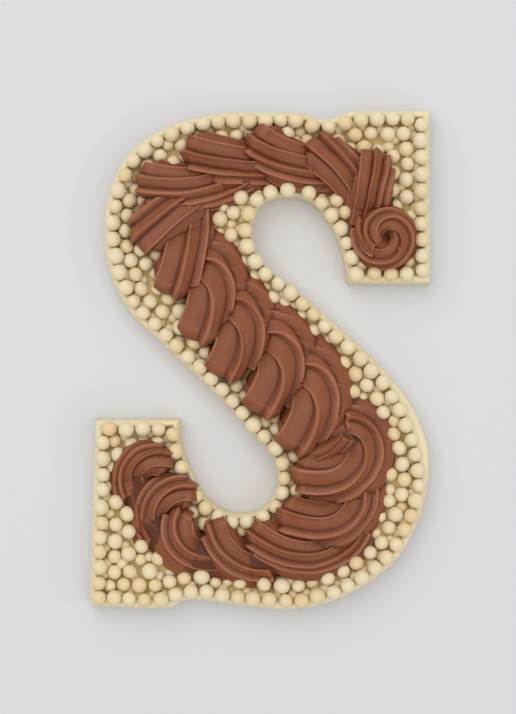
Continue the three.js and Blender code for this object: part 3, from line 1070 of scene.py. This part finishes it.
    def _build_bed(self, material: bpy.types.Material) -> bpy.types.Object:
        """Build the low run of chocolate under the loops.

        Args:
            material: Its finish.

        Returns:
            The bed.
        """
        rings = []
        for index, (x, y, half_width) in enumerate(self.bed):
            x_before, y_before, _ = self.bed[max(index - 1, 0)]
            x_after, y_after, _ = self.bed[min(index + 1, len(self.bed) - 1)]
            heading = math.atan2(y_after - y_before, x_after - x_before)
            places = []
            for side in range(self.bed_sides + 1):
                angle = side / self.bed_sides * math.pi
                across = math.cos(angle) * half_width
                places.append(Vector((
                    x - math.sin(heading) * across,
                    y + math.cos(heading) * across,
                    self.underside + math.sin(angle) * self.bed_rise,
                )) * MM)
            rings.append(places)
        return make_object("piped_milk_chocolate_rope", skin_rings(rings), material)

    def _fuse(self, pieces: list[bpy.types.Object]) -> bpy.types.Object:
        """Unite solids into the first of them, and remove the others.

        Args:
            pieces: The solids.

        Returns:
            The united solid.
        """
        whole = pieces[0]
        for piece in pieces[1:]:
            union = whole.modifiers.new("union", "BOOLEAN")
            union.operation = "UNION"
            union.solver = "MANIFOLD"
            union.object = piece
            graph = bpy.context.evaluated_depsgraph_get()
            united = bpy.data.meshes.new_from_object(whole.evaluated_get(graph))
            whole.modifiers.clear()
            old = whole.data
            whole.data = united
            bpy.data.meshes.remove(old)
            spare = piece.data
            bpy.data.objects.remove(piece)
            bpy.data.meshes.remove(spare)
        whole.data.name = whole.name
        return whole

    def _mark_relief(self, rope: bpy.types.Object) -> None:
        """Store how far each vertex stands out or in, which the finish paints as lip highlight and
        crease shade, and set smooth and sharp edges.

        Args:
            rope: The fused rope.
        """
        mesh = bmesh.new()
        mesh.from_mesh(rope.data)
        mesh.normal_update()
        layer = mesh.verts.layers.float.new("relief")
        for corner in mesh.verts:
            bends = [
                edge.calc_face_angle_signed(0.0) for edge in corner.link_edges
                if len(edge.link_faces) == 2 and edge.calc_length() > self.least_edge
            ]
            bend = max(bends, key=abs) if bends else 0.0
            # Convex bends go towards the painted lip highlight, concave ones towards the painted
            # crease shade.
            relief = self.level_relief + bend * self.relief_per_bend
            corner[layer] = min(max(relief, 0.0), 1.0)
        for edge in mesh.edges:
            if len(edge.link_faces) == 2:
                edge.smooth = edge.calc_face_angle(0.0) < math.radians(self.sharp_edge)
        for face in mesh.faces:
            face.smooth = True
        mesh.to_mesh(rope.data)
        mesh.free()


# --- The crisp pearls ---


@dataclass(frozen=True)
class Pearl:
    """A crisp pearl's centre and radius."""

    x: float
    y: float
    z: float
    radius: float


@dataclass(frozen=True)
class Filler:
    """A kind of pearl that drops into gaps.

    It has its diameter, how far it is sunk into the tray's floor and how near others may come, as a
    share of the sum of the radii.
    """

    diameter: float
    sunk: float
    closeness: float


@dataclass
class CrispPearls:
    """The pearls in the tray: a high row along the rim, and lower ones behind it.

    Jitters are in plan, and lifts are above the tray's floor. rim_share is how much of a filler's
    radius keeps clear of the rim. The hidden share of a pearl is found by rays from look_height at
    its centre and at spokes round it, which count as struck where the rope is above the pearl's
    height less low_share of its radius.
    """

    outline: LetterOutline
    finish: CrispPearlCoating
    diameter: float = 4.75
    spread: float = 0.4
    stretch: tuple[float, float] = (0.95, 1.03)
    most_toasting: float = 0.6
    icosphere_level: int = 2
    floor: float = 6.0
    edge_reach: float = 0.55
    edge_lift: float = 1.5
    edge_jitter: float = 0.25
    row_gap: float = 4.05
    row_lift: tuple[float, float] = (-0.2, 0.5)
    row_jitter: float = 0.45
    rows: int = 6
    tries: tuple[float, ...] = (0.0, 0.33, 0.67)
    closeness: float = 0.97
    settling: float = 1.0
    most_hidden: float = 0.6
    spokes: int = 8
    spoke_share: float = 0.75
    low_share: float = 0.4
    look_height: float = 40.0
    rim_share: float = 0.8
    filler_step: float = 0.8
    fillers: tuple[Filler, ...] = (
        Filler(4.3, sunk=0.5, closeness=0.9),
        Filler(3.9, sunk=1.3, closeness=0.78),
    )
    seed: int = 20

    def build(self, rope: bpy.types.Object) -> bpy.types.Object:
        """Scatter the pearls round the rope and build them as one mesh.

        Args:
            rope: The finished rope, which hides some places.

        Returns:
            The finished object.
        """
        draw = random.Random(self.seed)
        graph = bpy.context.evaluated_depsgraph_get()
        cover = BVHTree.FromObject(rope, graph)
        pearls = self._lay_rows(draw, cover)
        for filler in self.fillers:
            self._fill_gaps(filler, pearls, draw, cover)
        mesh = bmesh.new()
        layer = mesh.verts.layers.float.new("toasting")
        for pearl in pearls:
            turned = Euler([draw.uniform(0, math.tau) for _ in range(3)]).to_matrix().to_4x4()
            shape = Matrix.Diagonal([draw.uniform(*self.stretch) for _ in range(3)] + [1])
            place = Matrix.Translation(Vector((pearl.x, pearl.y, pearl.z)) * MM) @ turned @ shape
            made = bmesh.ops.create_icosphere(mesh, subdivisions=self.icosphere_level,
                                              radius=pearl.radius * MM, matrix=place)
            toasting = draw.random() ** 2 * self.most_toasting
            for corner in made["verts"]:
                corner[layer] = toasting
        for face in mesh.faces:
            face.smooth = True
        made = make_object("crisp_pearls", mesh, self.finish.build())
        LOG.info("pearls: %d", len(pearls))
        return made

    def _lay_rows(self, draw: random.Random, cover: BVHTree) -> list[Pearl]:
        """Place pearls row by row from the rim inwards.

        Args:
            draw: The seeded source of chance.
            cover: The rope.

        Returns:
            The pearls.
        """
        pearls: list[Pearl] = []
        for row in range(self.rows):
            at_rim = row == 0
            jitter = self.edge_jitter if at_rim else self.row_jitter
            settling = 0.0 if at_rim else self.settling
            line = self.outline.inset(self.edge_reach + row * self.row_gap)
            for index, start in enumerate(line):
                end = line[(index + 1) % len(line)]
                for share in self.tries:
                    radius = (self.diameter + draw.uniform(-1, 1) * self.spread) / 2
                    spot = start.lerp(end, share) + Vector((
                        draw.uniform(-jitter, jitter), draw.uniform(-jitter, jitter)))
                    lift = self.edge_lift if at_rim else draw.uniform(*self.row_lift)
                    pearl = Pearl(spot.x, spot.y, self.floor + radius + lift, radius)
                    self._add_pearl(pearl, pearls, cover, self.closeness, settling)
        return pearls

    def _fill_gaps(self, filler: Filler, pearls: list[Pearl], draw: random.Random,
                   cover: BVHTree) -> None:
        """Drop lower pearls into the gaps that the others leave.

        Args:
            filler: The kind of pearl to drop in.
            pearls: The pearls so far, to which the lower ones are added.
            draw: The seeded source of chance.
            cover: The rope.
        """
        outline, step = self.outline, self.filler_step
        left, right = min(place.x for place in outline.foot), max(place.x for place in outline.foot)
        near, far = min(place.y for place in outline.foot), max(place.y for place in outline.foot)
        for row in range(round((far - near) / step)):
            for column in range(round((right - left) / step)):
                spot = Vector((left + (column + draw.random()) * step,
                               near + (row + draw.random()) * step))
                radius = (filler.diameter + draw.uniform(-1, 1) * self.spread) / 2
                index = outline.nearest.find((spot.x, spot.y, 0))[1]
                foot = outline.foot[index]
                depth = (spot - foot).dot(outline.inward[index])
                if depth >= outline.rim_at(foot) + outline.draft + radius * self.rim_share:
                    pearl = Pearl(spot.x, spot.y, self.floor + radius - filler.sunk, radius)
                    self._add_pearl(pearl, pearls, cover, filler.closeness, self.settling)

    def _add_pearl(self, pearl: Pearl, pearls: list[Pearl], cover: BVHTree,
                   closeness: float, settling: float) -> None:
        """Keep a pearl if it touches no other one and shows beside the rope.

        Args:
            pearl: The pearl.
            pearls: The pearls so far, to which it is added.
            cover: The rope.
            closeness: How near two pearls may come, as a share of their radii's sum.
            settling: How far it settles where the rope lies on it, in millimetres.
        """
        for other in pearls:
            across = (pearl.x - other.x) ** 2 + (pearl.y - other.y) ** 2
            if across + (pearl.z - other.z) ** 2 < ((pearl.radius + other.radius) * closeness) ** 2:
                return
        hidden = self._hidden_share(pearl, cover)
        if hidden < self.most_hidden:
            pearls.append(Pearl(pearl.x, pearl.y, pearl.z - hidden * settling, pearl.radius))

    def _hidden_share(self, pearl: Pearl, cover: BVHTree) -> float:
        """Tell how much of a pearl lies under the rope.

        Args:
            pearl: The pearl.
            cover: The rope.

        Returns:
            The hidden share, from 0 to 1.
        """
        hits = 0
        for spoke in range(self.spokes + 1):
            reach = 0.0 if spoke == self.spokes else pearl.radius * self.spoke_share
            angle = spoke / self.spokes * math.tau
            origin = Vector((pearl.x + math.cos(angle) * reach,
                             pearl.y + math.sin(angle) * reach, self.look_height))
            struck = cover.ray_cast(origin * MM, Vector((0, 0, -1)))[0]
            if struck is not None and struck.z > (pearl.z - pearl.radius * self.low_share) * MM:
                hits += 1
        return hits / (self.spokes + 1)


# --- The studio ---


@dataclass(frozen=True)
class SoftLight:
    """A square soft light that faces the letter, with its place and side in metres and its watts."""

    name: str
    place: tuple[float, float, float]
    side: float
    power: float


@dataclass
class Studio:
    """A pale board, a soft light from the upper left, a weak fill and a camera straight above.

    The board's side is in metres.
    """

    finish: MattBoard
    board_side: float = 2.4
    lights: tuple[SoftLight, ...] = (
        SoftLight("key_light", (-0.4, 0.6, 1.25), side=1.4, power=9.0),
        SoftLight("fill_light", (0.8, -0.5, 1.3), side=1.4, power=5.0),
    )
    camera_x: float = -0.6
    camera_y: float = 0.8
    camera_height: float = 607.0
    lens: float = 100.0
    sensor: float = 36.0
    world_light: float = 0.68
    world_colour: str = "#F4F5F8"

    def build(self) -> None:
        """Build the board, the lights and the camera."""
        mesh = bmesh.new()
        bmesh.ops.create_grid(mesh, x_segments=2, y_segments=2, size=self.board_side / 2)
        board = make_object("board", mesh, self.finish.build())
        for light in self.lights:
            self._add_light(light)
        world = bpy.data.worlds.new("studio")
        world.use_nodes = True
        set_up(world.node_tree.nodes["Background"],
               {"Color": linear_colour(self.world_colour), "Strength": self.world_light})
        bpy.context.scene.world = world
        bpy.context.scene.view_settings.view_transform = "Standard"
        self._add_camera()

    def _add_light(self, light: SoftLight) -> None:
        """Add a soft light and turn it to the letter.

        Args:
            light: The light.
        """
        data = bpy.data.lights.new(light.name, "AREA")
        data.energy = light.power
        data.size = light.side
        lamp = bpy.data.objects.new(light.name, data)
        lamp.location = light.place
        lamp.rotation_euler = (-Vector(light.place)).to_track_quat("-Z", "Y").to_euler()
        bpy.context.scene.collection.objects.link(lamp)

    def _add_camera(self) -> None:
        """Add the camera, straight above the letter."""
        data = bpy.data.cameras.new("camera")
        data.lens = self.lens
        data.sensor_width = self.sensor
        camera = bpy.data.objects.new("camera", data)
        camera.location = Vector((self.camera_x, self.camera_y, self.camera_height)) * MM
        bpy.context.scene.collection.objects.link(camera)
        bpy.context.scene.camera = camera


# --- Assembly ---


def main() -> None:
    """Build the letter, dress it and set the studio round it."""
    logging.basicConfig(level=logging.INFO, format="%(message)s")
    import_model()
    outline = LetterOutline()
    rope = PipedRope(MilkChocolate()).build()
    slab = MouldedSlab(outline, WhiteChocolate()).build()
    pearls = CrispPearls(outline, CrispPearlCoating()).build(rope)
    for piece in (slab, pearls, rope):
        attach(piece, "root")
    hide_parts("white_chocolate_letter")
    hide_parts("white_chocolate_letter")
    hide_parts("milk_chocolate_rope")
    Studio(MattBoard()).build()


if __name__ == "__main__":
    main()
